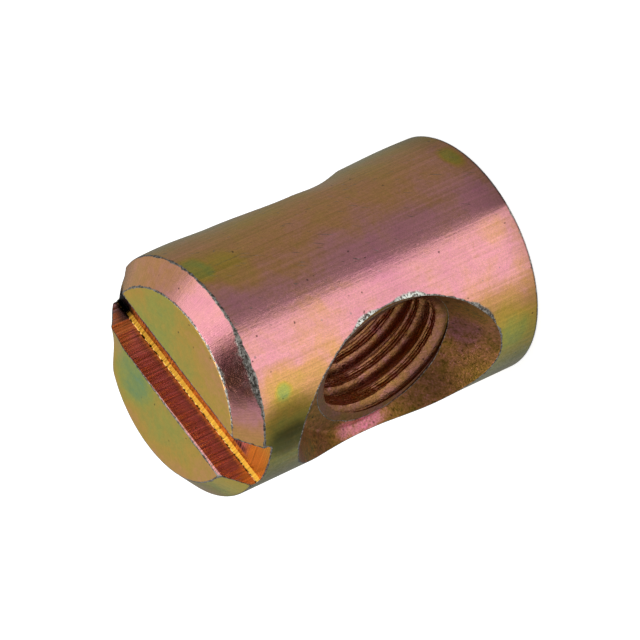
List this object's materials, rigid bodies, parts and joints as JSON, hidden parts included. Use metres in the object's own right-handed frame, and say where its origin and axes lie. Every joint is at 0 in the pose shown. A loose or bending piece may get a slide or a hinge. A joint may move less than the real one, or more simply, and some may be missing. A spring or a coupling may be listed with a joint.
{
  "type": "hammer nut",
  "caption": "Steel barrel nut with a slotted, bevelled end and a tapped M8 cross hole that opens into a flat-floored conical pocket on each side.",
  "frame": {"origin": "centre of the plain end face, which the nut stands on", "axes": "+Z along the barrel towards the slotted end, Y along the tapped hole, X across it"},
  "size_m": [0.012, 0.012, 0.0174],
  "materials": {
    "plated_steel": "zinc plate with iridescent yellow passivation, rubbed through to grey at the edges"
  },
  "bodies": {
    "root": {"nut": "plated_steel"}
  },
  "joints": []
}
